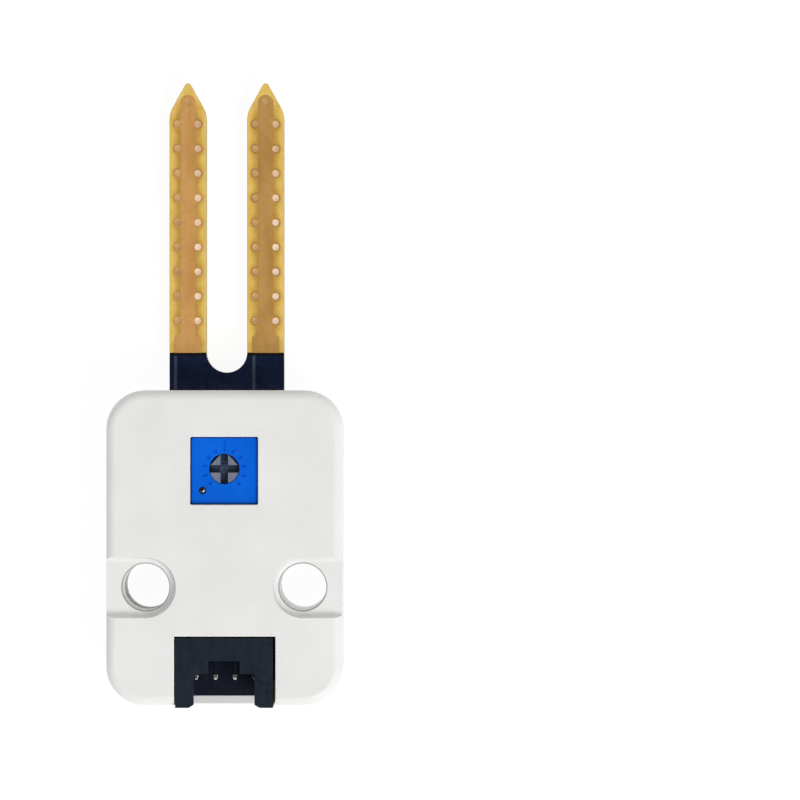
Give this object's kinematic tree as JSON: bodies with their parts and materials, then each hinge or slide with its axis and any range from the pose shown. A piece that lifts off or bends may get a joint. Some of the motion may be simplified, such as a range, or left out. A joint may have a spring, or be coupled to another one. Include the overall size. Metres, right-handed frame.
{
  "type": "soil moisture sensor",
  "caption": "Fork-shaped soil moisture probe in a small flat case, with a plug socket at the back edge and a screwdriver-set trimmer in a window.",
  "frame": {"origin": "centre of the case's flat back face, on which the sensor lies", "axes": "+Z out of the front face, +Y along the prongs towards their tips, +X across the case to the right as seen from the front"},
  "size_m": [0.0242, 0.064, 0.0081],
  "materials": {
    "case": "satin",
    "board": "satin",
    "electrode": "satin",
    "socket": "satin",
    "contact": "satin",
    "trimmer": "satin",
    "rotor": "satin",
    "seal": "matte",
    "ceramic": "matte",
    "sealant": "gloss",
    "chip": "matte",
    "resistor": "satin",
    "capacitor": "satin"
  },
  "bodies": {
    "sensor_body": {"bottom_shell": "case", "top_shell": "case", "circuit_board": "board", "left_electrode": "electrode", "right_electrode": "electrode", "socket_shroud": "socket", "socket_pin_1": "contact", "socket_pin_2": "contact", "socket_pin_3": "contact", "socket_pin_4": "contact", "socket_anchor_left": "contact", "socket_anchor_right": "contact", "trimmer_housing": "trimmer", "trimmer_seal": "seal", "trimmer_element": "ceramic", "trimmer_base": "sealant", "trimmer_terminal_1": "contact", "trimmer_terminal_2": "contact", "trimmer_terminal_3": "contact", "comparator_body": "chip", "comparator_lead_1": "contact", "comparator_lead_2": "contact", "comparator_lead_3": "contact", "comparator_lead_4": "contact", "comparator_lead_5": "contact", "comparator_lead_6": "contact", "comparator_lead_7": "contact", "comparator_lead_8": "contact", "resistor_1": "resistor", "resistor_2": "resistor", "resistor_3": "resistor", "resistor_4": "resistor", "capacitor_1": "capacitor", "capacitor_2": "capacitor"},
    "rotor_body": {"trimmer_rotor": "rotor", "trimmer_wiper": "contact"}
  },
  "joints": [
    {"name": "trimmer_turn", "type": "hinge", "parent": "sensor_body", "child": "rotor_body", "pos_m": [0, 0.00805, 0.0075], "axis": [0, 0, 1], "range_deg": [-135, 135]}
  ]
}
